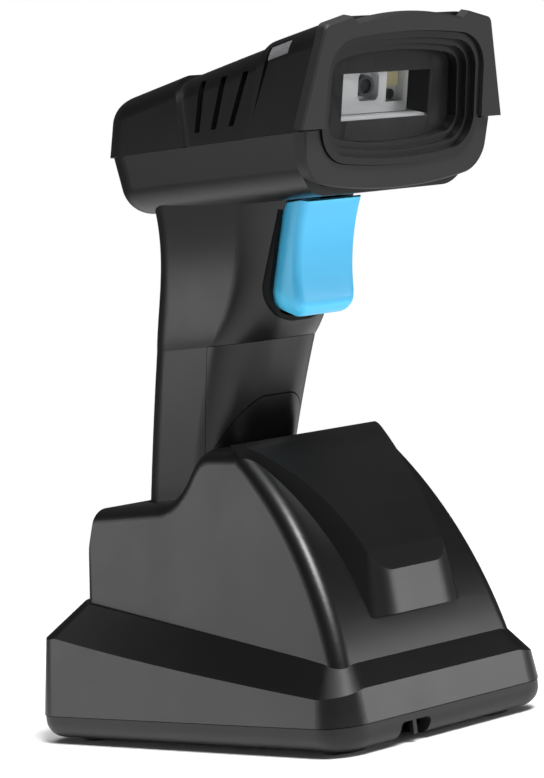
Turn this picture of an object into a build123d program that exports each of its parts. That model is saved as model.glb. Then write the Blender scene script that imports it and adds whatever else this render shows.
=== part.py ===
"""Cordless handheld barcode scanner standing in its charging cradle.

Millimetres, +Z up, the scan window faces -Y, origin at the middle of the footprint.
"""
import os
from math import cos, radians, sin, tan

from build123d import *

# ---------------------------------------------------------------- driving sizes
# Scanner head
head_width = 74.0        # upper bezel, across its lower edge
head_rear = 39.0         # rear end of the head, from the origin
face_front = -67.4       # scan face at the height of the bezel joint
joint_height = 163.4     # upper bezel meets lower bezel
face_tilt = 15.0         # the scan face leans forward at its top
seam_rise = 1.7          # cover seam climbs towards the rear, degrees
roof_fall = 5.6          # roof falls towards the rear, degrees
roof_height = 184.8      # roof at the origin
side_draft = 10.5        # head sides lean in
cover_wall = 3.2
band_depth = 1.0         # recessed waist band
louvre_depth = 1.3
bezel_thick = 3.2
chin_setback = 1.8       # lower bezel sits back from the upper one
chin_thick = 4.0
tub_depth = 17.0         # lower half of the head, below the seam
tub_setback = 0.8        # cover overhangs the lower half
tub_narrowing = 2.0      # and the lower half closes in towards the chin

# Scan window
opening_half = 29.0      # window opening, half width
opening_top = 24.4
opening_bottom = 11.3
step_width = 1.75        # ridged funnel steps
step_depth = 1.7
window_thick = 1.5
clear_width = 32.0
clear_height = 12.5

# Grip
grip_width = 35.0
grip_depth = 43.0
grip_wall = 2.4
lean = 14.5              # grip leans back at its foot, degrees
dock_height = 34.0       # foot of the grip, above the table

# Trigger
trigger_width = 22.0
trigger_tilt = 21.0
collar_rim = 1.6
pin_radius = 1.25
spring_radius = 2.2
spring_wire = 0.5

# Cradle
base_width = 80.8
base_front = -58.4
base_rear = 76.2
base_corner = 10.0
plate_top = 8.3
plate_bottom = 1.3
housing_half = 33.6      # upper housing, half width at its foot
housing_wall = 2.5
foot_radius = 6.0
notch_width = 11.0
notch_offset = -13.0

# Fits
gap = 0.2                # between pieces that are fastened together
socket_gap = 0.8         # round the grip in the cradle
trigger_gap = 0.8        # round the trigger
pin_fit = 0.05           # running fit on shafts and plungers
screw_radius = 1.25

# ---------------------------------------------------------------- frames
face_plane = Plane(origin=(0, face_front, joint_height), x_dir=(1, 0, 0),
                   z_dir=(0, -cos(radians(face_tilt)), -sin(radians(face_tilt))))
seam_origin = joint_height - face_front * tan(radians(seam_rise))
seam_plane = Plane(origin=(0, 0, seam_origin), x_dir=(1, 0, 0),
                   z_dir=(0, -sin(radians(seam_rise)), cos(radians(seam_rise))))
roof_plane = Plane(origin=(0, 0, roof_height), x_dir=(1, 0, 0),
                   z_dir=(0, -cos(radians(roof_fall)), sin(radians(roof_fall))))
dock_center = 34.5       # middle of the grip's foot, along Y
axis = (0, -sin(radians(lean)), cos(radians(lean)))
dock_plane = Plane(origin=(0, dock_center, dock_height), x_dir=(1, 0, 0), z_dir=axis)
trigger_plane = Plane(origin=(0, -25, 130), x_dir=(1, 0, 0),
                      z_dir=(0, -cos(radians(trigger_tilt)), -sin(radians(trigger_tilt))))


def save(node, name):
    """Label a finished piece and write its STEP file."""
    os.makedirs("parts", exist_ok=True)
    node.part.label = name
    export_step(node.part, "parts/" + name + ".step")


# ---------------------------------------------------------------- shared outlines
def head_outline(inset, narrow=0.0):
    """Plan of the head: sides closing towards a round rear end."""
    front_half = head_width / 2 + 0.4 - inset - narrow
    rear_half = head_width / 2 - 14.0 - inset
    front = face_front - 15
    rear = head_rear - inset
    with BuildSketch() as outline:
        with BuildLine():
            Polyline((-front_half, front), (front_half, front), (rear_half, rear),
                     (-rear_half, rear), close=True)
        make_face()
        fillet(outline.vertices().filter_by(lambda v: v.Y > 0), 19 - inset)
    return outline.sketch


def upper_form(inset):
    """Everything above the head seam, moved in by inset."""
    with BuildPart() as form:
        with BuildSketch(seam_plane):
            add(head_outline(inset))
        extrude(amount=42, taper=side_draft)
        rise = -inset
        with BuildSketch(roof_plane.offset(90)) as roof:
            with BuildLine():
                Polyline((-50, -60), (50, -60), (50, rise - 7), (22, rise),
                         (-22, rise), (-50, rise - 7), close=True)
            make_face()
            fillet(roof.vertices().filter_by(lambda v: abs(v.X) < 23), 30)
        extrude(amount=-170, mode=Mode.INTERSECT)
        top_rear = form.edges().filter_by(lambda e: e.center().Y > 15 and e.center().Z > seam_origin + 8)
        top_side = form.edges().filter_by(
            lambda e: abs(e.center().X) > 22 and e.center().Z > seam_origin + 12
            and -60 < e.center().Y < 15 and e.length > 20)
        fillet(top_rear + top_side, 8)
    return form.part


def lower_form(inset):
    """The tub below the head seam, moved in by inset."""
    depth = tub_depth - inset
    with BuildPart() as form:
        with BuildSketch(seam_plane):
            add(head_outline(inset + tub_setback, tub_narrowing))
        extrude(amount=-depth, taper=9)
        fillet(form.faces().sort_by(Axis.Z)[0].edges(), 9 - inset)
    return form.part


def grip_form(grow, foot=dock_height - 12, neck=158.0):
    """The grip as lofts of round-cornered sections, grown by grow."""
    half = grip_width / 2 + grow
    stretch = (grip_depth - 43.0) / 2 + grow
    joint = 110.0
    step = (neck - joint) / 4
    # height, extra half width, front, rear, corner radius
    lower = [
        (foot, -2.0, 18.5, 57.5, 13),
        ((foot + joint) / 2, -0.8, 7.2, 46.6, 13),
        (joint, 0.0, -11.0, 34.2, 13),
    ]
    upper = [
        (joint, 0.0, -11.0, 34.2, 13),
        (joint + step, 0.0, -20.0, 31.0, 13),
        (joint + 2 * step, 0.2, -26.0, 27.6, 13),
        (joint + 3 * step, 2.0, -31.0, 24.8, 13.5),
        (neck, 4.0, -35.0, 26.0, 15),
    ]
    with BuildPart() as form:
        for sections in (lower, upper):
            faces_to_join = []
            for height, extra, front, rear, corner in sections:
                with BuildSketch(Plane.XY.offset(height)) as section:
                    with Locations((0, (front + rear) / 2)):
                        RectangleRounded(2 * (half + extra), rear - front + 2 * stretch, corner + grow)
                faces_to_join.append(section.sketch.face())
            loft(faces_to_join)
    return form.part


def ring_outline(half_width, front, rear, corner):
    """Round-cornered plan of a cradle level."""
    with BuildSketch() as outline:
        with Locations((0, (front + rear) / 2)):
            RectangleRounded(2 * half_width, rear - front, corner)
    return outline.sketch


def opening_outline(grow, bottom_half=True, top_half=True):
    """Window opening in the scan face, grown by grow."""
    half = opening_half + grow
    top = opening_top + grow
    bottom = -opening_bottom - grow
    with BuildSketch() as outline:
        if top_half:
            with BuildLine():
                Line((-half, 0), (half, 0))
                Line((half, 0), (half - 0.8, top - 2.2))
                ThreePointArc((half - 0.8, top - 2.2), (0, top), (-half + 0.8, top - 2.2))
                Line((-half + 0.8, top - 2.2), (-half, 0))
            make_face()
        if bottom_half:
            with BuildLine():
                Line((-half, 0), (half, 0))
                Line((half, 0), (half - 1.6, bottom + 2.4))
                ThreePointArc((half - 1.6, bottom + 2.4), (0, bottom), (-half + 1.6, bottom + 2.4))
                Line((-half + 1.6, bottom + 2.4), (-half, 0))
            make_face()
        corners = outline.vertices().filter_by(lambda v: abs(v.Y) > 2)
        fillet(corners, 10 + grow)
    return outline.sketch


def trigger_outline(half, bottom, top, corner):
    """Trigger seen from the front: square at the top, round at the bottom."""
    with BuildSketch() as outline:
        with Locations((0, (top + bottom) / 2)):
            Rectangle(2 * half, top - bottom)
        fillet(outline.vertices().filter_by(lambda v: v.Y < 0), corner)
    return outline.sketch


# ---------------------------------------------------------------- scanner: covers
outer_head = upper_form(0)
band_floor = upper_form(band_depth)
louvre_floor = upper_form(band_depth + louvre_depth)
pocket_floor = upper_form(1.1)
head_hollow = upper_form(cover_wall)
tub_outer = lower_form(0)
tub_hollow = lower_form(grip_wall)
grip_outer = grip_form(0)
grip_hollow = grip_form(-grip_wall)


def side_block(points, inner=12):
    """A prism drawn in side view, standing out on both sides from inner."""
    with BuildPart() as block:
        with BuildSketch(Plane.YZ):
            with BuildLine():
                Polyline(*points, close=True)
            make_face()
        extrude(amount=60, both=True)
        if inner:
            with Locations((0, 0, 170)):
                Box(2 * inner, 300, 300, mode=Mode.SUBTRACT)
    return block.part


def louvre(foot, crown, width):
    """One slanted slot between two heights on the waist band."""
    return side_block([(foot, 168.5), (foot + width, 168.5), (crown + width, 182.2), (crown, 182.2)])


low = seam_origin - 20
band = side_block([(-35.5, low), (-3.0, low), (-9.5, seam_origin), (-4.5, 184), (0, 200),
                   (-51, 200), (-44.5, 182)], inner=0)
with BuildPart() as band_cut:
    add(band)
    add(band_floor, mode=Mode.SUBTRACT)

with BuildPart() as louvre_cut:
    for foot, crown in ((-16.5, -18.5), (-24.5, -29.0), (-33.0, -39.5)):
        add(louvre(foot, crown, 2.6))
    add(louvre_floor, mode=Mode.SUBTRACT)

indicator_shape = [(-49.4, 183.6), (-49.6, 187.3), (-59.2, 188.2), (-58.7, 184.4)]
with BuildPart() as groove_cut:
    add(side_block([(-43.2, 169.5), (-51.4, 186), (-49.2, 187), (-48.6, 184)]))
    add(side_block(indicator_shape))
    add(pocket_floor, mode=Mode.SUBTRACT)

with BuildPart() as cover_tool:
    with BuildSketch(face_plane.offset(-bezel_thick - gap)):
        Rectangle(200, 200)
    extrude(amount=60)

flange_rim = 1.5
mask_thick = 0.3
ledge_thick = 1.2
flange_thick = 1.8
with BuildPart() as flange_seat:
    with BuildSketch(face_plane):
        add(opening_outline(flange_rim + gap))
    extrude(amount=-(chin_setback + chin_thick + flange_thick + 2 * gap + ledge_thick + mask_thick))

with BuildPart() as top_cover:
    add(outer_head)
    add(band_cut.part, mode=Mode.SUBTRACT)
    add(louvre_cut.part, mode=Mode.SUBTRACT)
    add(groove_cut.part, mode=Mode.SUBTRACT)
    add(cover_tool.part, mode=Mode.SUBTRACT)
    add(flange_seat.part, mode=Mode.SUBTRACT)
    add(head_hollow, mode=Mode.SUBTRACT)
save(top_cover, "top_cover")

for side, name in ((-1, "indicator_right"), (1, "indicator_left")):
    with BuildPart() as indicator:
        add(side_block(indicator_shape))
        add(upper_form(0.25), mode=Mode.INTERSECT)
        add(pocket_floor, mode=Mode.SUBTRACT)
        with Locations((-side * 50, 0, 170)):
            Box(100, 300, 100, mode=Mode.SUBTRACT)
    save(indicator, name)

# Upper bezel: shoulders, notches and a central arch
half = head_width / 2
bezel_edge = 0.5
with BuildPart() as bezel_upper:
    with BuildSketch(face_plane) as outline:
        with BuildLine():
            Polyline((-19.4, 27.3), (-21.6, 29.0), (-half + 6.6, 26.9), (-half, gap / 2),
                     (half, gap / 2), (half - 6.6, 26.9), (21.6, 29.0), (19.4, 27.3))
            ThreePointArc((19.4, 27.3), (0, 29.3), (-19.4, 27.3))
        make_face()
        fillet(outline.vertices().filter_by(lambda v: abs(v.X) > 27 and v.Y > 20), 2.2)
    extrude(amount=-bezel_thick)
    rim = bezel_upper.faces().filter_by(lambda f: f.normal_at().Z < -0.1).sort_by(Axis.Y)[0].edges()
    chamfer(rim.filter_by(lambda e: e.length > 15 and e.center().Z > joint_height + 5), bezel_edge)
    with BuildSketch(face_plane):
        add(opening_outline(0, bottom_half=False))
        with Locations((0, -1)):
            Rectangle(2 * opening_half, 2.4)
    extrude(amount=-bezel_thick, mode=Mode.SUBTRACT)
save(bezel_upper, "bezel_upper")

# Lower bezel: the chin, set back and in
chin_half = half - 2.9
chin_plane = face_plane.offset(-chin_setback)
with BuildPart() as bezel_lower:
    with BuildSketch(chin_plane) as outline:
        with BuildLine():
            Polyline((chin_half - 1.4, -13.8), (chin_half, -gap / 2), (-chin_half, -gap / 2),
                     (-chin_half + 1.4, -13.8))
            ThreePointArc((-chin_half + 1.4, -13.8), (0, -17.8), (chin_half - 1.4, -13.8))
        make_face()
        fillet(outline.vertices().filter_by(lambda v: v.Y < -10), 9)
    extrude(amount=-chin_thick)
    rim = bezel_lower.faces().filter_by(lambda f: f.normal_at().Z < -0.1).sort_by(Axis.Y)[0].edges()
    chamfer(rim.filter_by(lambda e: e.center().Z < joint_height - 2), bezel_edge)
    with BuildSketch(chin_plane):
        add(opening_outline(0, top_half=False))
    extrude(amount=-chin_thick, mode=Mode.SUBTRACT)
    with BuildSketch(seam_plane.offset(-gap / 2)):
        Rectangle(200, 200)
    extrude(amount=20, mode=Mode.SUBTRACT)
save(bezel_lower, "bezel_lower")

# Window funnel: a stepped frame behind both bezels
steps = 3
window_grow = -gap - steps * step_width
frame_front = 1.1
window_depth = frame_front + steps * step_depth
window_back = window_depth + window_thick
flange_depth = chin_setback + chin_thick + gap
with BuildPart() as window_frame:
    with BuildSketch(face_plane.offset(-frame_front)):
        add(opening_outline(-gap))
    extrude(amount=-(window_back + mask_thick + ledge_thick - frame_front))
    with BuildSketch(face_plane.offset(-flange_depth)):
        add(opening_outline(flange_rim))
    extrude(amount=-flange_thick)
    for step in range(steps):
        with BuildSketch(face_plane.offset(-frame_front - step * step_depth)):
            add(opening_outline(-gap - (step + 1) * step_width))
        extrude(amount=-step_depth, mode=Mode.SUBTRACT)
    with BuildSketch(face_plane.offset(-window_depth)):
        add(opening_outline(window_grow))
    extrude(amount=-window_thick - mask_thick, mode=Mode.SUBTRACT)
    with BuildSketch(face_plane.offset(-window_depth)):
        add(opening_outline(window_grow - ledge_thick))
    extrude(amount=-20, mode=Mode.SUBTRACT)
save(window_frame, "window_frame")

# ---------------------------------------------------------------- scanner: window and engine
with BuildPart() as scan_window:
    with BuildSketch(face_plane.offset(-window_depth)):
        add(opening_outline(window_grow - 0.1))
    extrude(amount=-window_thick)
save(scan_window, "scan_window")

clear_middle = 6.4
with BuildPart() as window_mask:
    with BuildSketch(face_plane.offset(-window_back)) as outline:
        add(opening_outline(window_grow - 0.1))
        with Locations((0, clear_middle)):
            Rectangle(clear_width, clear_height, mode=Mode.SUBTRACT)
    extrude(amount=-mask_thick)
save(window_mask, "window_mask")

engine_width, engine_height, engine_length = 30.0, 13.0, 17.0
engine_front = 15.0
engine_plane = face_plane.offset(-engine_front)
engine_v = clear_middle + 0.6
lens_x = 0.3
lens_pocket = 7.6
aimer_x = 10.2
with BuildPart() as scan_engine:
    with BuildSketch(engine_plane):
        with Locations((0, engine_v)):
            RectangleRounded(engine_width, engine_height, 0.8)
    extrude(amount=-engine_length)
    with BuildSketch(engine_plane):
        with Locations((lens_x, engine_v + 0.6)):
            RectangleRounded(lens_pocket, lens_pocket, 1.6)
        with Locations((aimer_x, engine_v + 0.4)):
            Rectangle(6.4, 8.4)
    extrude(amount=-3.0, mode=Mode.SUBTRACT)
    with BuildSketch(engine_plane):
        with Locations((lens_x, engine_v + 0.6)):
            Circle(2.9 + gap / 2)
    extrude(amount=-9.0, mode=Mode.SUBTRACT)
save(scan_engine, "scan_engine")

with BuildPart() as lens_barrel:
    with BuildSketch(engine_plane.offset(-1.0)):
        with Locations((lens_x, engine_v + 0.6)):
            Circle(2.9)
            Circle(2.0, mode=Mode.SUBTRACT)
    extrude(amount=-8.0)
save(lens_barrel, "lens_barrel")

with BuildPart() as imaging_lens:
    with BuildSketch(engine_plane.offset(-1.8)):
        with Locations((lens_x, engine_v + 0.6)):
            Circle(2.0 - pin_fit)
    extrude(amount=-2.2)
save(imaging_lens, "imaging_lens")

with BuildPart() as illumination_led:
    with BuildSketch(engine_plane.offset(-1.6)):
        with Locations((aimer_x, engine_v + 2.0)):
            RectangleRounded(5.0, 3.8, 0.4)
    extrude(amount=-1.4)
save(illumination_led, "illumination_led")

with BuildPart() as aimer_lens:
    with BuildSketch(engine_plane.offset(-1.6)):
        with Locations((aimer_x, engine_v - 2.1)):
            Circle(1.4)
    extrude(amount=-1.4)
save(aimer_lens, "aimer_lens")

# Bracket: an angle under the engine, with a light-coloured shelf in front
bracket_thick = 1.2
with BuildPart() as engine_bracket:
    with BuildSketch(engine_plane.offset(5.0)):
        with Locations((0, engine_v - engine_height / 2 - gap - bracket_thick / 2)):
            Rectangle(engine_width + 6, bracket_thick)
    extrude(amount=-engine_length - 6.0)
    with BuildSketch(engine_plane.offset(-engine_length - gap)):
        with Locations((0, engine_v - gap - bracket_thick / 2)):
            Rectangle(engine_width + 6, engine_height + bracket_thick)
    extrude(amount=-bracket_thick)
save(engine_bracket, "engine_bracket")

# ---------------------------------------------------------------- scanner: boards in the head
board_thick = 1.6
board_z = 158.4
board_front, board_rear = -30.0, 26.0
board_width = 40.0
with BuildPart() as main_board:
    with BuildSketch(Plane.XY.offset(board_z)) as outline:
        with Locations((0, (board_front + board_rear) / 2)):
            Rectangle(board_width, board_rear - board_front)
        chamfer(outline.vertices().filter_by(lambda v: v.Y > 0), 6)
        with GridLocations(board_width - 7, 34, 2, 2):
            Circle(screw_radius + 0.1, mode=Mode.SUBTRACT)
    extrude(amount=board_thick)
save(main_board, "main_board")

board_top = board_z + board_thick


def chip(name, x, y, width, length, height):
    """A block soldered on the main board."""
    with BuildPart() as block:
        with BuildSketch(Plane.XY.offset(board_top)):
            with Locations((x, y)):
                Rectangle(width, length)
        extrude(amount=height)
    save(block, name)


chip("processor", -4, -8, 14, 14, 1.4)
chip("radio_module", 5, 12, 18, 13, 2.4)
chip("engine_connector", 0, -26.5, 14, 4, 1.8)
with BuildPart() as beeper:
    with BuildSketch(Plane.XY.offset(board_top)):
        with Locations((-12.5, 10)):
            Circle(4.8)
    extrude(amount=4.2)
    with BuildSketch(Plane.XY.offset(board_top + 4.2)):
        with Locations((-12.5, 10)):
            Circle(0.9)
    extrude(amount=-1.5, mode=Mode.SUBTRACT)
save(beeper, "beeper")

with BuildPart() as status_leds:
    for side in (-1, 1):
        with BuildSketch(Plane.XY.offset(board_top)):
            with Locations((side * 18.0, -26)):
                Rectangle(2.0, 3.2)
        extrude(amount=1.1)
save(status_leds, "status_leds")

# ---------------------------------------------------------------- scanner: body and trigger
collar_half = trigger_width / 2 + trigger_gap + collar_rim
well_half = trigger_width / 2 + trigger_gap
collar_bottom = -17.3
collar_top = 15.4
well_bottom = collar_bottom + collar_rim
collar_out, collar_in = -2.0, -7.0

arch_slope = 47.0
foot_cut = Plane(origin=(0, 8, 82.0), x_dir=(1, 0, 0),
                 z_dir=(0, -sin(radians(arch_slope)), -cos(radians(arch_slope))))
with BuildPart() as foot_tool:
    with BuildSketch(foot_cut):
        with Locations((0, -27.5)):
            Rectangle(200, 145)
    extrude(amount=120)
with BuildPart() as below_dock:
    with BuildSketch(dock_plane):
        Rectangle(200, 200)
    extrude(amount=-60)

pin_y, pin_z = -22.0, 154.0
with BuildPart() as well_cut:
    with BuildSketch(trigger_plane.offset(12)):
        add(trigger_outline(collar_half + gap / 2, collar_bottom - gap / 2, collar_top + gap / 2, 11.5))
    extrude(amount=-(12 - collar_in + gap / 2))
    with BuildSketch(trigger_plane.offset(12)):
        add(trigger_outline(well_half, well_bottom, collar_top + 14, 9))
    extrude(amount=-26)
    with Locations((0, 0, 147.2)):
        Box(200, 200, 60, align=(Align.CENTER, Align.CENTER, Align.MIN), mode=Mode.SUBTRACT)
    with BuildSketch(Plane.XY.offset(146)):
        with Locations((0, pin_y - 2.0)):
            Rectangle(15, 15)
    extrude(amount=12)

# The battery door is let into the front of the grip
door_top, door_side = 110.0, 3.5
with BuildPart() as door_tool:
    with BuildSketch(Plane.YZ):
        with BuildLine():
            Polyline((door_side, door_top), (-40, door_top), (-40, 60),
                     (door_side + 50 * tan(radians(lean)), 60), close=True)
        make_face()
    extrude(amount=40, both=True)
with BuildPart() as door_gap:
    with BuildSketch(Plane.YZ):
        with BuildLine():
            Polyline((door_side + 0.15, door_top + 0.15), (-40, door_top + 0.15), (-40, 60),
                     (door_side + 0.15 + 50 * tan(radians(lean)), 60), close=True)
        make_face()
    extrude(amount=40, both=True)

under_screw = (-17.5, -44.0)
screw_seat = 150.0
boss_x, boss_width = 9.8, 3.0
rib_rear = -18.5
rib_length = 18.0
bottom_up = (Align.CENTER, Align.CENTER, Align.MIN)
with BuildPart() as body_shell:
    add(tub_outer)
    add(grip_outer)
    add(cover_tool.part, mode=Mode.SUBTRACT)
    with BuildSketch(face_plane.offset(-flange_depth)):
        Rectangle(200, 200)
    extrude(amount=60, mode=Mode.SUBTRACT)
    add(tub_hollow, mode=Mode.SUBTRACT)
    add(flange_seat.part, mode=Mode.SUBTRACT)
    add(grip_hollow, mode=Mode.SUBTRACT)
    add(well_cut.part, mode=Mode.SUBTRACT)
    add(door_gap.part, mode=Mode.SUBTRACT)
    add(foot_tool.part, mode=Mode.SUBTRACT)
    add(below_dock.part, mode=Mode.SUBTRACT)
    with Locations((under_screw[0], under_screw[1], 148), (-under_screw[0], under_screw[1], 148)):
        Cylinder(4.2, 12.5, align=bottom_up)
    with Locations((boss_x, rib_rear, 148.5), (-boss_x, rib_rear, 148.5)):
        Box(boss_width, rib_length, pin_z + 3 - 148.5, align=(Align.CENTER, Align.MAX, Align.MIN))
    with Locations((under_screw[0], under_screw[1], 140), (-under_screw[0], under_screw[1], 140)):
        Cylinder(2.6, screw_seat - 140, align=bottom_up, mode=Mode.SUBTRACT)
        Cylinder(screw_radius, 40, align=bottom_up, mode=Mode.SUBTRACT)
    with Locations((0, pin_y, pin_z)):
        Cylinder(pin_radius, 2 * boss_x + boss_width + gap, rotation=(0, 90, 0), mode=Mode.SUBTRACT)
save(body_shell, "body_shell")

with BuildPart() as battery_door:
    add(grip_outer)
    add(grip_hollow, mode=Mode.SUBTRACT)
    add(door_tool.part, mode=Mode.INTERSECT)
    add(foot_tool.part, mode=Mode.SUBTRACT)
save(battery_door, "battery_door")

foot_floor = 2.6
with BuildPart() as foot_hollow:
    add(grip_hollow)
    with BuildSketch(dock_plane.offset(foot_floor)):
        Rectangle(200, 200)
    extrude(amount=-60, mode=Mode.SUBTRACT)

pad_radius = 1.7
pad_spots = [(-7.5, 0), (-2.5, 0), (2.5, 0), (7.5, 0)]
with BuildPart() as handle_foot:
    add(grip_outer)
    add(foot_hollow.part, mode=Mode.SUBTRACT)
    with BuildSketch(foot_cut.offset(0.15)):
        Rectangle(200, 300)
    extrude(amount=-160, mode=Mode.SUBTRACT)
    add(below_dock.part, mode=Mode.SUBTRACT)
    with BuildSketch(dock_plane):
        with Locations(*pad_spots):
            Circle(pad_radius)
    extrude(amount=foot_floor, mode=Mode.SUBTRACT)
save(handle_foot, "handle_foot")

with BuildPart() as trigger_collar:
    with BuildSketch(trigger_plane.offset(collar_out)):
        add(trigger_outline(collar_half, collar_bottom, collar_top, 11.4))
    extrude(amount=-(collar_out - collar_in))
    with BuildSketch(trigger_plane.offset(collar_out)):
        add(trigger_outline(well_half, well_bottom, collar_top + 5, 9))
    extrude(amount=-20, mode=Mode.SUBTRACT)
    add(tub_outer, mode=Mode.SUBTRACT)
save(trigger_collar, "trigger_collar")

trigger_half = trigger_width / 2
hub_half = 6.0
trigger_back = -13.7     # clear of the switch over the whole pull
hub_radius = 3.2
with BuildPart() as trigger:
    with BuildSketch(trigger_plane.offset(16)):
        add(trigger_outline(trigger_half, well_bottom + trigger_gap, collar_top + 4, 8.2))
    extrude(amount=-24)
    with BuildSketch(Plane.YZ) as side:
        with BuildLine():
            ThreePointArc((-37.2, 146.8), (-30.9, 131.5), (-29.6, 115.6))
            Polyline((-29.6, 115.6), (trigger_back, 115.6), (trigger_back, 130), (-20, 146.8),
                     (-37.2, 146.8))
        make_face()
        fillet(side.vertices().filter_by(lambda v: v.X < -28 and v.Y < 118), 4)
    extrude(amount=trigger_half + 2, both=True, mode=Mode.INTERSECT)
    face_edges = trigger.edges().filter_by(lambda e: e.center().Y < -25.5 and e.length > 6
                                           and e.center().Z < 145)
    fillet(face_edges, 2.2)
    with BuildSketch(Plane.YZ):
        with BuildLine():
            Polyline((pin_y - hub_radius + 0.7, 143), (pin_y + hub_radius - 0.7, 143),
                     (pin_y + hub_radius - 0.7, pin_z), (pin_y - hub_radius + 0.7, pin_z), close=True)
        make_face()
        with Locations((pin_y, pin_z)):
            Circle(hub_radius)
    extrude(amount=hub_half, both=True)
    with Locations((0, pin_y, pin_z)):
        Cylinder(pin_radius + pin_fit, 60, rotation=(0, 90, 0), mode=Mode.SUBTRACT)
save(trigger, "trigger")

with BuildPart() as trigger_pin:
    with Locations((0, pin_y, pin_z)):
        Cylinder(pin_radius, 2 * boss_x + boss_width, rotation=(0, 90, 0))
save(trigger_pin, "trigger_pin")

spring_x = hub_half + 0.35
with BuildPart() as trigger_spring:
    coil = Helix(pitch=spring_wire + 0.02, height=3 * (spring_wire + 0.02), radius=spring_radius,
                 center=(spring_x, pin_y, pin_z), direction=(1, 0, 0))
    with BuildSketch(Plane(origin=coil @ 0, z_dir=coil % 0)):
        Circle(spring_wire / 2)
    sweep(path=coil, is_frenet=True)
save(trigger_spring, "trigger_spring")

switch_y, switch_z = -7.8, 122.0
switch_size = 6.2
with BuildPart() as trigger_board:
    with Locations((0, switch_y, switch_z + 1)):
        Box(20, board_thick, 20, align=(Align.CENTER, Align.MIN, Align.CENTER))
save(trigger_board, "trigger_board")
plunger_radius = 1.7
with BuildPart() as trigger_switch:
    with Locations((0, switch_y, switch_z)):
        Box(switch_size, 3.5, switch_size, align=(Align.CENTER, Align.MAX, Align.CENTER))
    with Locations((0, switch_y - 3.5, switch_z)):
        Cylinder(plunger_radius + pin_fit, 2 * 1.2, rotation=(90, 0, 0), mode=Mode.SUBTRACT)
save(trigger_switch, "trigger_switch")
with BuildPart() as switch_plunger:
    with Locations((0, switch_y - 3.5 + 0.6, switch_z)):
        Cylinder(plunger_radius, 1.8, rotation=(90, 0, 0), align=bottom_up)
save(switch_plunger, "switch_plunger")

with BuildPart() as body_screws:
    with Locations((under_screw[0], under_screw[1], screw_seat),
                   (-under_screw[0], under_screw[1], screw_seat)):
        Cylinder(2.4, 1.6, align=(Align.CENTER, Align.CENTER, Align.MAX))
        Cylinder(screw_radius, 9, align=bottom_up)
    with Locations((under_screw[0], under_screw[1], screw_seat - 1.6),
                   (-under_screw[0], under_screw[1], screw_seat - 1.6)):
        Box(2.6, 0.7, 1.6, mode=Mode.SUBTRACT)
        Box(0.7, 2.6, 1.6, mode=Mode.SUBTRACT)
save(body_screws, "body_screws")

# ---------------------------------------------------------------- scanner: power in the grip
cell_radius, cell_length = 9.2, 65.0
cell_plane = Plane(origin=(0, 21.5, 86.0), x_dir=(1, 0, 0), z_dir=axis)
with BuildPart() as battery_cell:
    with BuildSketch(cell_plane.offset(-cell_length / 2)):
        Circle(cell_radius)
    extrude(amount=cell_length)
    with BuildSketch(cell_plane.offset(cell_length / 2)):
        Circle(3.0)
    extrude(amount=1.2)
save(battery_cell, "battery_cell")

with BuildPart() as battery_contacts:
    for offset_along in (cell_length / 2 + 1.2, -cell_length / 2 - 0.8):
        with BuildSketch(cell_plane.offset(offset_along)):
            RectangleRounded(14, 12, 2)
        extrude(amount=0.8)
save(battery_contacts, "battery_contacts")

with BuildPart() as charge_pads:
    with BuildSketch(dock_plane.offset(0.3)):
        with Locations(*pad_spots):
            Circle(pad_radius)
    extrude(amount=foot_floor - 0.3)
save(charge_pads, "charge_pads")

with BuildPart() as foot_board:
    with BuildSketch(dock_plane.offset(foot_floor)):
        RectangleRounded(24, 22, 2)
    extrude(amount=board_thick)
save(foot_board, "foot_board")

# ---------------------------------------------------------------- cradle
base_half = base_width / 2
skirt_draft = 8.0
shelf_slope, rim_slope = 9.04, 4.65


def tilted(front, height, slope):
    """A level that climbs towards the rear."""
    return Plane(origin=(0, front, height), x_dir=(1, 0, 0),
                 z_dir=(0, -sin(radians(slope)), cos(radians(slope))))


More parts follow.
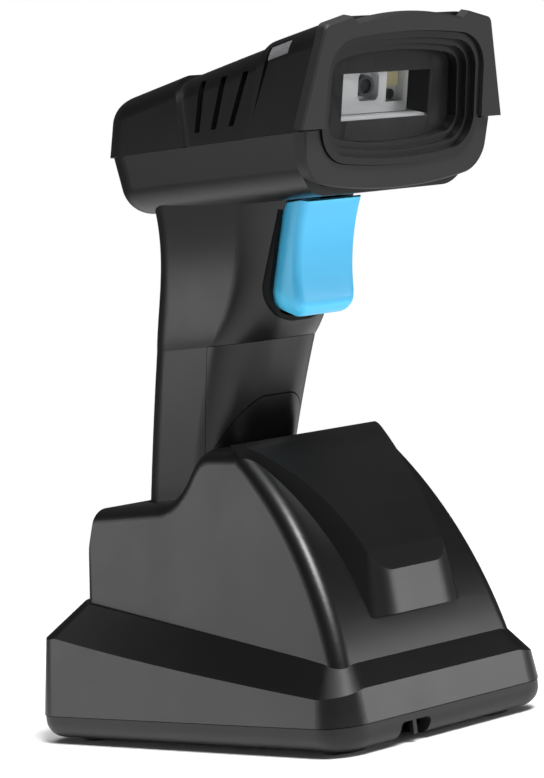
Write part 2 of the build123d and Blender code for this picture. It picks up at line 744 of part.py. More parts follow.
def cradle_form(inset):
    """Wedge-shaped skirt and upper housing, moved in by inset."""
    with BuildPart() as shelf:
        with BuildSketch(tilted(base_front + 5.9, 23.5 - inset, shelf_slope)):
            add(ring_outline(housing_half - 0.6 - inset, inset, 111.3 - inset, 6))
        with BuildSketch(tilted(base_front - 0.9, 14.5 - inset, rim_slope)):
            add(ring_outline(base_half - 0.7 - inset, inset, 141.5 - inset, base_corner))
        loft(ruled=True)
    with BuildPart() as below_shelf:
        with BuildSketch(tilted(base_front - 0.9, 14.6 - inset, rim_slope)):
            add(ring_outline(base_half + 10, -20, 170, base_corner))
        extrude(amount=-30)
    with BuildPart() as roof:
        add(shelf.part)
        add(below_shelf.part)
    with BuildPart() as form:
        with BuildSketch(Plane.XY.offset(plate_top)):
            add(ring_outline(base_half - inset, base_front + inset, base_rear - inset,
                             base_corner - inset / 2))
        extrude(amount=40, taper=skirt_draft)
        add(roof.part, mode=Mode.INTERSECT)
    with BuildPart() as upper:
        with BuildSketch(Plane.XY.offset(20)):
            add(ring_outline(housing_half - inset, base_front - 4, base_rear - 18.2 - inset, 6))
        extrude(amount=70, taper=6.1)
        with BuildSketch(Plane.YZ):
            with BuildLine():
                ThreePointArc((-53.6 + inset, 18), (-38.7 + inset, 55.5 - inset), (-15.5, 81.6 - inset))
                Line((-15.5, 81.6 - inset), (-2.7, 82.0 - inset))
                Spline((-2.7, 82.0 - inset), (8.6, 74.6 - inset), (22.0, 67.6 - inset),
                       tangents=((1, 0), (1, 0)))
                Polyline((22.0, 67.6 - inset), (49.4 - inset, 66.8 - inset), (58.5 - inset, 38),
                         (62 - inset, 18), (-53.6 + inset, 18))
            make_face()
        extrude(amount=60, both=True, mode=Mode.INTERSECT)
        if inset == 0:
            crease = upper.edges().filter_by(lambda e: abs(e.center().X) > 20 and e.center().Z > 30
                                             and e.center().Y < 50 and e.length > 8)
            fillet(crease, 4.5)
    with BuildPart() as whole:
        add(form.part)
        add(upper.part)
    return whole.part


chord_tilt = 56.7
chord_plane = Plane(origin=(0, -34.5, 50.0), x_dir=(1, 0, 0),
                    z_dir=(0, -sin(radians(chord_tilt)), cos(radians(chord_tilt))))
tongue_rise = 14.0
tongue_corner = 10.0
with BuildPart() as tongue_plan:
    for level, draw_in, foot in ((0, 0.0, -35.5), (tongue_rise, 8.1, -7.5)):
        foot_half = 16.4 + 0.16 * (foot + 35.5) - draw_in
        with BuildSketch(chord_plane.offset(level)) as outline:
            with BuildLine():
                Polyline((-foot_half, foot), (foot_half, foot), (22.9 - draw_in, 5), (26.8 - draw_in, 35),
                         (30 - draw_in, 60), (-30 + draw_in, 60), (-26.8 + draw_in, 35),
                         (-22.9 + draw_in, 5), close=True)
            make_face()
            fillet(outline.vertices().filter_by(lambda v: abs(v.X) < foot_half + 0.1),
                   tongue_corner - draw_in / 2)
    loft(ruled=True)
with BuildPart() as tongue:
    with BuildSketch(Plane.YZ) as outline:
        with BuildLine():
            ThreePointArc((-55.4, 34), (-43.4, 58.6), (-15.5, 83.0))
            Polyline((-15.5, 83.0), (8, 83.6), (8, 70), (-10, 70), (-44, 34), (-55.4, 34))
        make_face()
        fillet(outline.vertices().filter_by(lambda v: v.X > -20 and v.X < -12 and v.Y > 80), 12)
    extrude(amount=40, both=True)
    add(tongue_plan.part, mode=Mode.INTERSECT)

socket_wall = 2.2
floor_plane = dock_plane.offset(-0.1)
with BuildPart() as socket_outer:
    add(grip_form(socket_gap + socket_wall))
    with BuildSketch(floor_plane.offset(-socket_wall)):
        Rectangle(200, 200)
    extrude(amount=-60, mode=Mode.SUBTRACT)
with BuildPart() as socket_inner:
    add(grip_form(socket_gap))
    with BuildSketch(floor_plane):
        Rectangle(200, 200)
    extrude(amount=-60, mode=Mode.SUBTRACT)

block_width, block_depth = 22.0, 8.0
screw_spots = [(-27, -33), (27, -33), (-27, 47), (27, 47)]
cradle_outer = cradle_form(0)
with BuildPart() as cradle_space:
    add(cradle_form(housing_wall))
    add(socket_outer.part, mode=Mode.SUBTRACT)
    with Locations(*[(x, y, 0) for x, y in screw_spots]):
        Cylinder(3.6, 90, align=bottom_up, mode=Mode.SUBTRACT)

with BuildPart() as cradle_housing:
    add(cradle_outer)
    add(tongue.part)
    add(cradle_space.part, mode=Mode.SUBTRACT)
    add(socket_inner.part, mode=Mode.SUBTRACT)
    with BuildSketch(floor_plane):
        Rectangle(block_width, block_depth)
    extrude(amount=-10, mode=Mode.SUBTRACT)
    with Locations(*[(x, y, 0) for x, y in screw_spots]):
        Cylinder(screw_radius, 17, align=bottom_up, mode=Mode.SUBTRACT)
save(cradle_housing, "cradle_housing")

# Bottom plate: a tray with a rounded keel, a cable notch at the front and four rubber feet
plate_wall = 3.0
floor_top = 3.9
foot_recess = 0.8
foot_spots = [(-27, -44), (27, -44), (-27, 60), (27, 60)]
with BuildPart() as base_plate:
    with BuildSketch(Plane.XY.offset(plate_bottom)):
        add(ring_outline(base_half - gap, base_front + gap, base_rear - gap, base_corner))
    extrude(amount=plate_top - gap - plate_bottom)
    fillet(base_plate.faces().sort_by(Axis.Z)[0].edges(), 5.2)
    with BuildSketch(Plane.XY.offset(floor_top)):
        add(ring_outline(base_half - plate_wall - 2, base_front + plate_wall + 2, base_rear - plate_wall - 2,
                         base_corner - plate_wall))
    extrude(amount=10, mode=Mode.SUBTRACT)
    with BuildSketch(Plane.XZ.offset(70)) as notch:
        with Locations((notch_offset, 3.1)):
            Rectangle(notch_width, 6.2)
        fillet(notch.vertices().filter_by(lambda v: v.Y > 5), 1.5)
    extrude(amount=-(70 + base_front + 11.5), mode=Mode.SUBTRACT)
    with Locations((notch_offset, base_front + 1.0, 2.2)):
        Box(1.3, 1.6, 4.6, align=(Align.CENTER, Align.MIN, Align.MIN))
    with Locations(*[(x, y, 0) for x, y in foot_spots]):
        Cylinder(foot_radius + gap / 2, plate_bottom + foot_recess, align=bottom_up, mode=Mode.SUBTRACT)
    with Locations(*[(x, y, 0) for x, y in screw_spots]):
        Cylinder(2.6, plate_bottom + 1.4, align=bottom_up, mode=Mode.SUBTRACT)
        Cylinder(screw_radius, 20, align=bottom_up, mode=Mode.SUBTRACT)
save(base_plate, "base_plate")

with BuildPart() as rubber_feet:
    with Locations(*[(x, y, 0) for x, y in foot_spots]):
        Cylinder(foot_radius, plate_bottom + foot_recess, align=bottom_up)
save(rubber_feet, "rubber_feet")

with BuildPart() as base_screws:
    with Locations(*[(x, y, plate_bottom + 1.4) for x, y in screw_spots]):
        Cylinder(2.4, 1.2, align=(Align.CENTER, Align.CENTER, Align.MAX))
        Cylinder(screw_radius, 12, align=bottom_up)
    with Locations(*[(x, y, plate_bottom + 0.2) for x, y in screw_spots]):
        Box(2.6, 0.7, 1.0, mode=Mode.SUBTRACT)
        Box(0.7, 2.6, 1.0, mode=Mode.SUBTRACT)
save(base_screws, "base_screws")

with BuildPart() as ballast:
    with BuildSketch(Plane.XY.offset(floor_top)):
        with Locations((6, 22)):
            RectangleRounded(34, 56, 3)
    extrude(amount=5)
save(ballast, "ballast")

socket_z = floor_top + gap
socket_front = base_front + 12.5
with BuildPart() as power_socket:
    with Locations((notch_offset, socket_front, socket_z)):
        Box(9.0, 7.4, 3.2, align=(Align.CENTER, Align.MIN, Align.MIN))
    with Locations((notch_offset, socket_front, socket_z + 0.4)):
        Box(8.2, 6.4, 2.4, align=(Align.CENTER, Align.MIN, Align.MIN), mode=Mode.SUBTRACT)
    with Locations((notch_offset, socket_front + 1.2, socket_z + 1.25)):
        Box(6.4, 5.4, 0.7, align=(Align.CENTER, Align.MIN, Align.MIN))
save(power_socket, "power_socket")

with BuildPart() as charge_board:
    with Locations((notch_offset + 3, socket_front + 0.6, socket_z + 3.2)):
        Box(21, 26, board_thick, align=(Align.CENTER, Align.MIN, Align.MIN))
save(charge_board, "charge_board")
charge_top = socket_z + 3.2 + board_thick
with BuildPart() as charge_chip:
    with Locations((notch_offset, socket_front + 15, charge_top)):
        Box(7, 7, 1.2, align=bottom_up)
save(charge_chip, "charge_chip")

# Contact block in the floor of the socket, with four sprung pins
pin_stroke = 0.8
contact_radius = 0.9
block_drop = 9.0
with BuildPart() as contact_block:
    with BuildSketch(floor_plane.offset(-0.3)):
        Rectangle(block_width - gap, block_depth - gap)
    extrude(amount=-block_drop)
    with BuildSketch(floor_plane.offset(-0.3 - block_drop)):
        Rectangle(block_width + 6, block_depth - gap)
    extrude(amount=block_drop - socket_wall - 0.3 - gap)
    with BuildSketch(floor_plane):
        with Locations(*pad_spots):
            Circle(contact_radius + pin_fit)
    extrude(amount=-7.0, mode=Mode.SUBTRACT)
save(contact_block, "contact_block")

pin_tip = 0.3 - 0.03
with BuildPart() as contact_pins:
    with BuildSketch(dock_plane.offset(pin_tip)):
        with Locations(*pad_spots):
            Circle(contact_radius)
    extrude(amount=-(7.0 - pin_stroke - 0.6))
    tips = contact_pins.faces().sort_by(Axis.Z)[-4:]
    fillet(tips.edges(), 0.4)
save(contact_pins, "contact_pins")
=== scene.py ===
"""Looks for a cordless barcode scanner standing in its charging cradle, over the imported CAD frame."""
import math

import bmesh
import bpy
from mathutils import Matrix, Vector


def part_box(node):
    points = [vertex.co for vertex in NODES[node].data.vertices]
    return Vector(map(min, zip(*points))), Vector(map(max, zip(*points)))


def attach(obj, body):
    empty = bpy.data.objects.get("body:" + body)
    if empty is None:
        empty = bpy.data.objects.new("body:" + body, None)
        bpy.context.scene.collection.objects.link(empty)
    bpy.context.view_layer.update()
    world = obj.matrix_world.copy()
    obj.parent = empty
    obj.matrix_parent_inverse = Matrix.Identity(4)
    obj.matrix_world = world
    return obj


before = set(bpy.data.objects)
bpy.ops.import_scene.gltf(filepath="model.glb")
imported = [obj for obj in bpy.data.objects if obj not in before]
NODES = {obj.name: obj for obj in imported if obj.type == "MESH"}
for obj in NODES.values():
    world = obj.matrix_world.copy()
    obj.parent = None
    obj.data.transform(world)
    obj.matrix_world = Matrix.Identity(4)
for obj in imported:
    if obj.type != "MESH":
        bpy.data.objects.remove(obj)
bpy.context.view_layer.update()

bl_info = {
    "name": "Scanner and Cradle",
    "version": (1, 0, 0),
    "blender": (4, 5, 0),
    "location": "3D View > Sidebar > Scanner",
    "description": "Finishes and details for a handheld barcode scanner in its cradle",
    "category": "Object",
}

MM = 0.001
FLOOR_RADIUS = 1.6
FLOOR_DROP = 0.0002           # the floor lies this far under the feet, so the two never flicker
FADE_START, FADE_END = 0.13, 0.8   # metres from the middle of the floor
SENSOR_WIDTH = 36.0           # millimetres
SHARP_EDGE = math.radians(32)
RETAINER_LIFT = 0.3 * MM      # the ring stands this far out from the middle of the lens

# Lens retainer, turned: radius and height in millimetres
RETAINER_PROFILE = [(1.75, 0.0), (2.5, 0.0), (2.6, 0.12), (2.6, 0.5), (2.45, 0.62), (2.05, 0.62),
                    (1.95, 0.4), (1.75, 0.3)]

# Soft boxes: name, place, point looked at, width, height, the stage's power
SOFT_BOXES = (
    ("soft_left", (-1.05, 1.15, 0.2), (0, 0, 0.1), 0.75, 0.38, "left_power"),
    ("soft_right", (1.0, -1.2, 0.22), (0, 0, 0.1), 0.55, 0.42, "right_power"),
    ("soft_top", (0.0, 0.0, 2.0), (0, 0, 0), 2.0, 2.0, "top_power"),
    ("soft_fill", (-0.35, -1.0, 1.35), (0, 0, 0.1), 0.6, 0.6, "fill_power"),
)
FACE_TILT = math.radians(15.0)
FACE_OUT = Vector((0, -math.cos(FACE_TILT), -math.sin(FACE_TILT)))


# ---------------------------------------------------------------- colour and nodes
def linear(hex_colour):
    """sRGB hex to linear RGBA."""
    channels = [int(hex_colour[i:i + 2], 16) / 255 for i in (1, 3, 5)]
    return tuple(c / 12.92 if c <= 0.04045 else ((c + 0.055) / 1.055) ** 2.4 for c in channels) + (1.0,)


def put(tree, kind, settings=None, **inputs):
    """Adds a node, sets its properties, and fills or links its inputs by name or index."""
    node = tree.nodes.new(kind)
    for name, value in (settings or {}).items():
        setattr(node, name, value)
    for name, value in inputs.items():
        socket = node.inputs[int(name[1:])] if name[0] == "i" and name[1:].isdigit() else node.inputs[
            name.replace("_", " ")]
        if isinstance(value, bpy.types.NodeSocket):
            tree.links.new(value, socket)
        else:
            socket.default_value = value
    return node


def new_material(name):
    """An empty node material with its output."""
    material = bpy.data.materials.new(name)
    material.use_nodes = True
    material.node_tree.nodes.clear()
    return material, material.node_tree, material.node_tree.nodes.new("ShaderNodeOutputMaterial")


def moulded_abs(name, colour, roughness, grain_mm=0.35, grain_height=0.004, coat=0.0, edge_highlight=0.25,
                specular=0.3):
    """ABS, injection moulded in a sparked or polished tool: an even body colour, a fine grain in the gloss,
    slow waves from shrinkage, and convex edges painted lighter as a painted highlight. A spark-textured tool
    leaves a grain of about 0.1 mm, too fine to show, so it is drawn three times as coarse."""
    material, tree, out = new_material(name)
    place = put(tree, "ShaderNodeTexCoord").outputs["Object"]
    grain = put(tree, "ShaderNodeTexNoise", Vector=place, Scale=1 / (grain_mm * MM), Detail=2.0,
                Roughness=0.55)
    waves = put(tree, "ShaderNodeTexNoise", Vector=place, Scale=1 / (45 * MM), Detail=1.5)
    smudge = put(tree, "ShaderNodeTexNoise", Vector=place, Scale=1 / (14 * MM), Detail=4.0, Roughness=0.62)
    # Painted highlight: convex edges, found by pointiness, are painted lighter than the body colour
    convex_edges = put(tree, "ShaderNodeNewGeometry").outputs["Pointiness"]
    edge = put(tree, "ShaderNodeMapRange", Value=convex_edges)
    edge.inputs["From Min"].default_value, edge.inputs["From Max"].default_value = 0.5, 0.56
    base = linear(colour)
    highlight_colour = tuple(min(1.0, c * (1 + edge_highlight) + 0.004 * edge_highlight) for c in base[:3]) + (1,)
    shade = put(tree, "ShaderNodeMix", {"data_type": "RGBA"}, Factor=edge.outputs[0])
    shade.inputs[6].default_value, shade.inputs[7].default_value = base, highlight_colour
    tone = put(tree, "ShaderNodeMix", {"data_type": "RGBA", "blend_type": "MULTIPLY"}, Factor=1.0)
    tree.links.new(shade.outputs[2], tone.inputs[6])
    sink = put(tree, "ShaderNodeMapRange", Value=waves.outputs["Fac"])
    sink.inputs["From Min"].default_value, sink.inputs["From Max"].default_value = 0.3, 0.7
    sink.inputs["To Min"].default_value = 0.93
    tree.links.new(sink.outputs[0], tone.inputs[7])
    gloss = put(tree, "ShaderNodeMapRange", Value=smudge.outputs["Fac"])
    gloss.inputs["To Min"].default_value = max(0.02, roughness - 0.035)
    gloss.inputs["To Max"].default_value = roughness + 0.035
    bump = put(tree, "ShaderNodeBump", Height=grain.outputs["Fac"], Strength=1.0,
               Distance=grain_height * MM)
    shader = put(tree, "ShaderNodeBsdfPrincipled", Base_Color=tone.outputs[2], Roughness=gloss.outputs[0],
                 Normal=bump.outputs["Normal"])
    shader.inputs["IOR"].default_value = 1.54
    shader.inputs["Specular IOR Level"].default_value = specular
    shader.inputs["Coat Weight"].default_value = coat
    shader.inputs["Coat Roughness"].default_value = 0.12
    tree.links.new(shader.outputs[0], out.inputs["Surface"])
    return material


def drawn_metal(name, colour, roughness, line_mm=0.12):
    """Metal with the fine lines that turning or rolling leaves, which streak its highlights. The real lines
    are a few hundredths of a millimetre apart and are drawn coarser so that they show."""
    material, tree, out = new_material(name)
    place = put(tree, "ShaderNodeTexCoord").outputs["Object"]
    stretched = put(tree, "ShaderNodeMapping", Vector=place, Scale=(1.0, 1.0, 0.06))
    lines = put(tree, "ShaderNodeTexNoise", Vector=stretched.outputs[0], Scale=1 / (line_mm * MM),
                Detail=3.0)
    dull = put(tree, "ShaderNodeTexNoise", Vector=place, Scale=1 / (6 * MM), Detail=3.0)
    gloss = put(tree, "ShaderNodeMapRange", Value=dull.outputs["Fac"])
    gloss.inputs["To Min"].default_value = roughness - 0.06
    gloss.inputs["To Max"].default_value = roughness + 0.08
    bump = put(tree, "ShaderNodeBump", Height=lines.outputs["Fac"], Strength=0.6, Distance=0.01 * MM)
    tint = put(tree, "ShaderNodeMix", {"data_type": "RGBA"}, Factor=dull.outputs["Fac"])
    tint.inputs[6].default_value = linear(colour)
    tint.inputs[7].default_value = tuple(c * 0.8 for c in linear(colour)[:3]) + (1,)
    shader = put(tree, "ShaderNodeBsdfPrincipled", Base_Color=tint.outputs[2], Roughness=gloss.outputs[0],
                 Metallic=1.0, Normal=bump.outputs["Normal"])
    tree.links.new(shader.outputs[0], out.inputs["Surface"])
    return material


def clear_acrylic(name, colour, opacity=0.12):
    """Acrylic, cast and polished: clear, it shows what is behind it under a sharp, weak reflection."""
    material, tree, out = new_material(name)
    place = put(tree, "ShaderNodeTexCoord").outputs["Object"]
    haze = put(tree, "ShaderNodeTexNoise", Vector=place, Scale=1 / (9 * MM), Detail=3.0)
    gloss = put(tree, "ShaderNodeMapRange", Value=haze.outputs["Fac"])
    gloss.inputs["To Min"].default_value = 0.03
    gloss.inputs["To Max"].default_value = 0.07
    pane = put(tree, "ShaderNodeBsdfPrincipled", Roughness=gloss.outputs[0])
    pane.inputs["Base Color"].default_value = linear(colour)
    pane.inputs["IOR"].default_value = 1.49
    pane.inputs["Alpha"].default_value = opacity
    tree.links.new(pane.outputs[0], out.inputs["Surface"])
    return material


def frosted_resin(name, colour):
    """Polycarbonate light pipe, moulded with a frosted face: milky, soft inside, with a satin skin."""
    material, tree, out = new_material(name)
    place = put(tree, "ShaderNodeTexCoord").outputs["Object"]
    cloud = put(tree, "ShaderNodeTexNoise", Vector=place, Scale=1 / (1.2 * MM), Detail=3.0)
    tint = put(tree, "ShaderNodeMix", {"data_type": "RGBA"}, Factor=cloud.outputs["Fac"])
    tint.inputs[6].default_value = linear(colour)
    tint.inputs[7].default_value = tuple(c * 0.82 for c in linear(colour)[:3]) + (1,)
    bump = put(tree, "ShaderNodeBump", Height=cloud.outputs["Fac"], Strength=0.5, Distance=0.01 * MM)
    shader = put(tree, "ShaderNodeBsdfPrincipled", Base_Color=tint.outputs[2], Normal=bump.outputs["Normal"])
    shader.inputs["Roughness"].default_value = 0.32
    shader.inputs["IOR"].default_value = 1.58
    shader.inputs["Subsurface Weight"].default_value = 0.3
    shader.inputs["Subsurface Radius"].default_value = (0.002, 0.002, 0.002)
    shader.inputs["Subsurface Scale"].default_value = 0.5
    tree.links.new(shader.outputs[0], out.inputs["Surface"])
    return material


def solder_mask(name, colour):
    """Fibreglass board under green solder mask: glossy, with copper tracks that show as lighter lines."""
    material, tree, out = new_material(name)
    place = put(tree, "ShaderNodeTexCoord").outputs["Object"]
    tracks = put(tree, "ShaderNodeTexBrick", Vector=place, Scale=1 / (3.0 * MM))
    tracks.inputs["Mortar Size"].default_value = 0.06
    base = linear(colour)
    tracks.inputs["Color1"].default_value = base
    tracks.inputs["Color2"].default_value = tuple(c * 0.85 for c in base[:3]) + (1,)
    tracks.inputs["Mortar"].default_value = tuple(min(1, c * 1.9) for c in base[:3]) + (1,)
    bump = put(tree, "ShaderNodeBump", Height=tracks.outputs["Fac"], Strength=0.4, Distance=0.03 * MM)
    shader = put(tree, "ShaderNodeBsdfPrincipled", Base_Color=tracks.outputs["Color"],
                 Normal=bump.outputs["Normal"])
    shader.inputs["Roughness"].default_value = 0.28
    shader.inputs["IOR"].default_value = 1.52
    tree.links.new(shader.outputs[0], out.inputs["Surface"])
    return material


def moulded_rubber(name, colour):
    """Thermoplastic rubber, moulded: dull, with a dusty bloom that lightens it in patches."""
    material, tree, out = new_material(name)
    place = put(tree, "ShaderNodeTexCoord").outputs["Object"]
    bloom = put(tree, "ShaderNodeTexNoise", Vector=place, Scale=1 / (2.5 * MM), Detail=5.0, Roughness=0.7)
    tint = put(tree, "ShaderNodeMix", {"data_type": "RGBA"}, Factor=bloom.outputs["Fac"])
    tint.inputs[6].default_value = linear(colour)
    tint.inputs[7].default_value = linear("#2b2b2b")
    bump = put(tree, "ShaderNodeBump", Height=bloom.outputs["Fac"], Strength=0.5, Distance=0.03 * MM)
    shader = put(tree, "ShaderNodeBsdfPrincipled", Base_Color=tint.outputs[2], Normal=bump.outputs["Normal"])
    shader.inputs["Roughness"].default_value = 0.82
    shader.inputs["IOR"].default_value = 1.5
    tree.links.new(shader.outputs[0], out.inputs["Surface"])
    return material


# ---------------------------------------------------------------- geometry helpers
def finish_nodes(material, *names):
    """Gives CAD nodes one finish."""
    for name in names:
        piece = NODES[name]
        piece.data.materials.clear()
        piece.data.materials.append(material)


def revolve(name, profile, centre, along, material, body, segments=48):
    """A turned piece: a profile of radius and height, in millimetres, about an axis."""
    bm = bmesh.new()
    turn = Vector((0, 0, 1)).rotation_difference(Vector(along)).to_matrix().to_4x4()
    place = Matrix.Translation(Vector(centre)) @ turn
    rings = []
    for radius, height in profile:
        rings.append([bm.verts.new(place @ Vector((radius * MM * math.cos(2 * math.pi * i / segments),
                                                   radius * MM * math.sin(2 * math.pi * i / segments),
                                                   height * MM))) for i in range(segments)])
    for low, high in zip(rings, rings[1:]):
        for i in range(segments):
            j = (i + 1) % segments
            bm.faces.new((low[i], low[j], high[j], high[i]))
    bm.faces.new(list(reversed(rings[0])))
    bm.faces.new(rings[-1])
    return finished(name, bm, material, body)


def finished(name, bm, material, body):
    """Turns a bmesh into a piece that rides on a body."""
    bmesh.ops.recalc_face_normals(bm, faces=bm.faces)
    mesh = bpy.data.meshes.new(name)
    bm.to_mesh(mesh)
    bm.free()
    for polygon in mesh.polygons:
        polygon.use_smooth = True
    mesh.set_sharp_from_angle(angle=SHARP_EDGE)
    mesh.materials.append(material)
    piece = bpy.data.objects.new(name, mesh)
    bpy.context.scene.collection.objects.link(piece)
    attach(piece, body)
    return piece


# ---------------------------------------------------------------- settings
class ScannerFinish(bpy.types.PropertyGroup):
    """Colours of the scanner and cradle"""
    shell_colour: bpy.props.StringProperty(name="Shell", description="Black of the covers and grip",
                                           default="#090909")
    bezel_colour: bpy.props.StringProperty(name="Bezel", description="Matt black round the window",
                                           default="#101010")
    cradle_colour: bpy.props.StringProperty(name="Cradle", description="Black of the cradle's housing",
                                            default="#090909")
    plate_colour: bpy.props.StringProperty(name="Bottom plate", description="Black of the cradle's plate",
                                           default="#090909")
    trigger_colour: bpy.props.StringProperty(name="Trigger", description="Blue of the trigger",
                                             default="#54caff")
    shell_roughness: bpy.props.FloatProperty(name="Shell roughness", subtype="FACTOR",
                                             description="Gloss of the moulded shell",
                                             default=0.34, min=0.05, max=1.0)


class ScannerStage(bpy.types.PropertyGroup):
    """Camera and lights"""
    azimuth: bpy.props.FloatProperty(name="Azimuth", description="Camera's turn from the front",
                                     default=math.radians(-41.16), subtype="ANGLE")
    elevation: bpy.props.FloatProperty(name="Elevation", description="Camera's height above level",
                                       default=math.radians(2.08), subtype="ANGLE")
    roll: bpy.props.FloatProperty(name="Roll", description="Camera's tilt about its own axis",
                                  default=math.radians(6.93), subtype="ANGLE")
    distance: bpy.props.FloatProperty(name="Distance", description="Camera to the middle of the set",
                                      default=0.83019, unit="LENGTH")
    lens: bpy.props.FloatProperty(name="Lens", description="Focal length in millimetres", default=138.8)
    aim: bpy.props.FloatVectorProperty(name="Aim", description="Point the camera looks at",
                                       default=(-0.00948, -0.0124, 0.09653), subtype="XYZ")
    left_power: bpy.props.FloatProperty(name="Left box", description="Power of the rear left soft box",
                                        default=3.6, unit="POWER")
    right_power: bpy.props.FloatProperty(name="Right box", description="Power of the front right soft box",
                                         default=7.6, unit="POWER")
    fill_power: bpy.props.FloatProperty(name="Fill box", description="Power of the high front fill",
                                        default=46.0, unit="POWER")
    top_power: bpy.props.FloatProperty(name="Top box", description="Power of the overhead soft box",
                                       default=30.0, unit="POWER")


# ---------------------------------------------------------------- operators
class SCANNER_OT_shell(bpy.types.Operator):
    """Finishes the covers, grip, door and collar in satin black"""
    bl_idname = "scanner.shell"
    bl_label = "Shell"

    def execute(self, context):
        finish = context.scene.scanner_finish
        rough = finish.shell_roughness
        finish_nodes(moulded_abs("Black ABS, moulded satin", finish.shell_colour, rough),
                     "top_cover", "body_shell", "battery_door")
        finish_nodes(moulded_abs("Black ABS, moulded lip", "#060606", 0.55, specular=0.1), "trigger_collar")
        finish_nodes(moulded_abs("Black ABS, moulded foot", finish.shell_colour, rough - 0.04),
                     "handle_foot")
        return {"FINISHED"}


class SCANNER_OT_bezels(bpy.types.Operator):
    """Finishes both bezels and the stepped funnel in spark-textured black"""
    bl_idname = "scanner.bezels"
    bl_label = "Bezels and funnel"

    def execute(self, context):
        finish = context.scene.scanner_finish
        # the bezels' convex edges get twice the usual painted highlight
        finish_nodes(moulded_abs("Black ABS, spark-textured", finish.bezel_colour, 0.55, 0.5, 0.02,
                                 edge_highlight=0.5),
                     "bezel_upper", "bezel_lower")
        finish_nodes(moulded_abs("Black ABS, ridged funnel", "#0a0a0a", 0.36), "window_frame")
        finish_nodes(moulded_abs("Grey PBT, moulded bracket", "#dcdddf", 0.5, specular=0.5),
                     "engine_bracket")
        finish_nodes(moulded_abs("Black ink, screen printed", "#1a1a1b", 0.3, 0.2, 0.002), "window_mask")
        return {"FINISHED"}


class SCANNER_OT_lights(bpy.types.Operator):
    """Finishes the indicator light pipes and LEDs"""
    bl_idname = "scanner.lights"
    bl_label = "Indicators"

    def execute(self, context):
        finish_nodes(frosted_resin("Polycarbonate, frosted light pipe", "#68686b"),
                     "indicator_left", "indicator_right")
        finish_nodes(frosted_resin("Epoxy, cast LED lens", "#efe6b4"), "illumination_led", "status_leds")
        return {"FINISHED"}


class SCANNER_OT_trigger(bpy.types.Operator):
    """Finishes the trigger in bright blue"""
    bl_idname = "scanner.trigger"
    bl_label = "Trigger"

    def execute(self, context):
        colour = context.scene.scanner_finish.trigger_colour
        # the trigger's convex edges get a faint painted highlight
        finish_nodes(moulded_abs("Blue ABS, moulded smooth", colour, 0.42, 0.6, 0.002, coat=0.05, edge_highlight=0.1),
                     "trigger")
        return {"FINISHED"}


class SCANNER_OT_window(bpy.types.Operator):
    """Finishes the window, the engine and its lenses, and adds the lens's retaining rings"""
    bl_idname = "scanner.window"
    bl_label = "Window and engine"

    def execute(self, context):
        finish_nodes(clear_acrylic("Acrylic, clear and polished", "#17181a"), "scan_window")
        finish_nodes(moulded_abs("Grey PBT, moulded engine body", "#e4e5e6", 0.5, 0.3, 0.004, specular=0.5),
                     "scan_engine")
        barrel = moulded_abs("Black PBT, threaded lens barrel", "#3a3a3c", 0.4)
        finish_nodes(barrel, "lens_barrel")
        glass = clear_acrylic("Optical glass, coated", "#20242c", opacity=0.75)
        finish_nodes(glass, "imaging_lens", "aimer_lens")
        low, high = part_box("imaging_lens")
        middle = (Vector(low) + Vector(high)) / 2
        revolve("lens_retainer", RETAINER_PROFILE, middle + FACE_OUT * RETAINER_LIFT, FACE_OUT, barrel,
                "scanner")
        return {"FINISHED"}


class SCANNER_OT_electronics(bpy.types.Operator):
    """Finishes the boards, chips, cell and connectors inside"""
    bl_idname = "scanner.electronics"
    bl_label = "Electronics"

    def execute(self, context):
        finish_nodes(solder_mask("Fibreglass board, green mask", "#0f4a24"),
                     "main_board", "trigger_board", "foot_board", "charge_board")
        finish_nodes(moulded_abs("Black epoxy, moulded chip", "#161616", 0.6, 0.15, 0.006),
                     "processor", "charge_chip", "beeper", "contact_block")
        finish_nodes(moulded_abs("Natural nylon, moulded", "#cfc9b4", 0.45), "engine_connector",
                     "trigger_switch", "switch_plunger")
        finish_nodes(moulded_abs("PVC sleeve, heat shrunk", "#1d5c94", 0.3, 2.5, 0.02), "battery_cell")
        return {"FINISHED"}


class SCANNER_OT_metal(bpy.types.Operator):
    """Finishes the screws, pins, contacts, shields and ballast"""
    bl_idname = "scanner.metal"
    bl_label = "Metal parts"

    def execute(self, context):
        finish_nodes(drawn_metal("Steel, turned and blackened", "#6b6b6e", 0.35), "trigger_pin",
                     "trigger_spring", "body_screws", "base_screws")
        finish_nodes(drawn_metal("Gold over nickel, plated", "#d9a648", 0.22), "charge_pads", "contact_pins",
                     "battery_contacts")
        finish_nodes(drawn_metal("Tinplate, drawn", "#b9babb", 0.3), "radio_module", "power_socket")
        finish_nodes(drawn_metal("Steel, sheared plate", "#77787a", 0.5, 0.3), "ballast")
        return {"FINISHED"}


class SCANNER_OT_cradle(bpy.types.Operator):
    """Finishes the cradle's housing, plate and feet"""
    bl_idname = "scanner.cradle"
    bl_label = "Cradle"

    def execute(self, context):
        finish = context.scene.scanner_finish
        finish_nodes(moulded_abs("Black ABS, moulded housing", finish.cradle_colour, finish.shell_roughness),
                     "cradle_housing")
        finish_nodes(moulded_abs("Black ABS, moulded plate", finish.plate_colour, 0.5, 0.5, 0.01),
                     "base_plate")
        finish_nodes(moulded_rubber("Rubber, moulded foot", "#111111"), "rubber_feet")
        return {"FINISHED"}


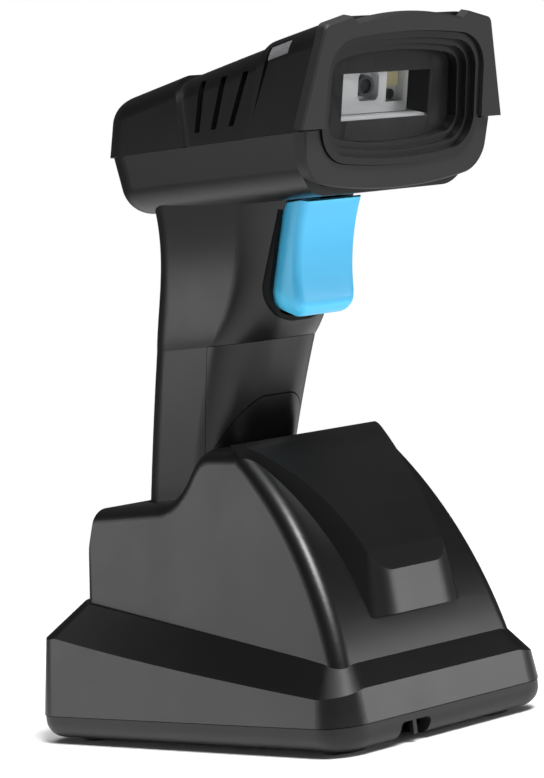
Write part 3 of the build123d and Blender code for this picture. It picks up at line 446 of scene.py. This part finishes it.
def pale_floor():
    """Painted board, rolled matt: pale, and fading out far from the set so that no edge shows."""
    material, tree, out = new_material("Painted board, matt white")
    place = put(tree, "ShaderNodeTexCoord").outputs["Object"]
    speckle = put(tree, "ShaderNodeTexNoise", Vector=place, Scale=400.0, Detail=2.0)
    reach = put(tree, "ShaderNodeVectorMath", {"operation": "LENGTH"}, i0=place)
    fade = put(tree, "ShaderNodeMapRange", Value=reach.outputs["Value"])
    fade.inputs["From Min"].default_value, fade.inputs["From Max"].default_value = FADE_START, FADE_END
    bump = put(tree, "ShaderNodeBump", Height=speckle.outputs["Fac"], Strength=0.2, Distance=0.00002)
    board = put(tree, "ShaderNodeBsdfPrincipled", Normal=bump.outputs["Normal"])
    board.inputs["Base Color"].default_value = linear("#f6f6f6")
    board.inputs["Roughness"].default_value = 0.75
    clear = put(tree, "ShaderNodeBsdfTransparent")
    mix = put(tree, "ShaderNodeMixShader", i0=fade.outputs[0], i1=board.outputs[0], i2=clear.outputs[0])
    tree.links.new(mix.outputs[0], out.inputs["Surface"])
    return material


def soft_box(name, place, look_at, width, height, power):
    """A rectangular soft light."""
    light = bpy.data.lights.new(name, "AREA")
    light.shape = "RECTANGLE"
    light.size, light.size_y = width, height
    light.energy = power
    lamp = bpy.data.objects.new(name, light)
    bpy.context.scene.collection.objects.link(lamp)
    back = (Vector(place) - Vector(look_at)).normalized()
    lamp.matrix_world = Matrix.Translation(Vector(place)) @ back.to_track_quat("Z", "Y").to_matrix().to_4x4()
    return lamp


class SCANNER_OT_stage(bpy.types.Operator):
    """Sets the floor, the soft boxes, the world and the camera"""
    bl_idname = "scanner.stage"
    bl_label = "Stage"

    def execute(self, context):
        stage = context.scene.scanner_stage
        bm = bmesh.new()
        bmesh.ops.create_circle(bm, cap_ends=True, segments=96, radius=FLOOR_RADIUS)
        mesh = bpy.data.meshes.new("floor")
        bm.to_mesh(mesh)
        bm.free()
        mesh.materials.append(pale_floor())
        floor = bpy.data.objects.new("floor", mesh)
        floor.location.z = -FLOOR_DROP
        context.scene.collection.objects.link(floor)

        for name, place, look_at, width, height, power in SOFT_BOXES:
            soft_box(name, place, look_at, width, height, getattr(stage, power))

        world = bpy.data.worlds.new("studio")
        world.use_nodes = True
        tree = world.node_tree
        tree.nodes.clear()
        seen = put(tree, "ShaderNodeLightPath")
        wall = put(tree, "ShaderNodeBackground", Strength=1.0)
        wall.inputs["Color"].default_value = (1, 1, 1, 1)
        room = put(tree, "ShaderNodeBackground", Strength=0.06)
        room.inputs["Color"].default_value = (1, 1, 1, 1)
        mix = put(tree, "ShaderNodeMixShader", i0=seen.outputs["Is Camera Ray"], i1=room.outputs[0],
                  i2=wall.outputs[0])
        out = put(tree, "ShaderNodeOutputWorld")
        tree.links.new(mix.outputs[0], out.inputs["Surface"])
        context.scene.world = world
        context.scene.view_settings.view_transform = "Standard"

        a, e, r = stage.azimuth, stage.elevation, stage.roll
        back = Vector((math.sin(a) * math.cos(e), -math.cos(a) * math.cos(e), math.sin(e)))
        right = Vector((math.cos(a), math.sin(a), 0))
        up = back.cross(right)
        across = math.cos(r) * right - math.sin(r) * up
        above = math.sin(r) * right + math.cos(r) * up
        place = Vector(stage.aim) + stage.distance * back
        turn = Matrix((across, above, back)).transposed().to_4x4()
        camera_data = bpy.data.cameras.new("camera")
        camera_data.lens = stage.lens
        camera_data.sensor_width = SENSOR_WIDTH
        camera_data.clip_start = 0.01
        camera = bpy.data.objects.new("camera", camera_data)
        camera.matrix_world = Matrix.Translation(place) @ turn
        context.scene.collection.objects.link(camera)
        context.scene.camera = camera
        return {"FINISHED"}


class SCANNER_PT_panel(bpy.types.Panel):
    """Lists the finishes and the stage"""
    bl_idname = "SCANNER_PT_panel"
    bl_label = "Scanner"
    bl_space_type = "VIEW_3D"
    bl_region_type = "UI"
    bl_category = "Scanner"

    def draw(self, context):
        for group in (context.scene.scanner_finish, context.scene.scanner_stage):
            for name in group.__annotations__:
                self.layout.prop(group, name)
        for operator in OPERATORS:
            self.layout.operator(operator.bl_idname)


OPERATORS = (SCANNER_OT_shell, SCANNER_OT_bezels, SCANNER_OT_lights, SCANNER_OT_trigger, SCANNER_OT_window,
             SCANNER_OT_electronics, SCANNER_OT_metal, SCANNER_OT_cradle, SCANNER_OT_stage)
CLASSES = (ScannerFinish, ScannerStage) + OPERATORS + (SCANNER_PT_panel,)


def register():
    for cls in CLASSES:
        bpy.utils.register_class(cls)
    bpy.types.Scene.scanner_finish = bpy.props.PointerProperty(type=ScannerFinish)
    bpy.types.Scene.scanner_stage = bpy.props.PointerProperty(type=ScannerStage)


def unregister():
    del bpy.types.Scene.scanner_stage
    del bpy.types.Scene.scanner_finish
    for cls in reversed(CLASSES):
        bpy.utils.unregister_class(cls)


def main():
    register()
    bpy.ops.scanner.shell()
    bpy.ops.scanner.bezels()
    bpy.ops.scanner.lights()
    bpy.ops.scanner.trigger()
    bpy.ops.scanner.window()
    bpy.ops.scanner.electronics()
    bpy.ops.scanner.metal()
    bpy.ops.scanner.cradle()
    bpy.ops.scanner.stage()


if __name__ == "__main__":
    main()
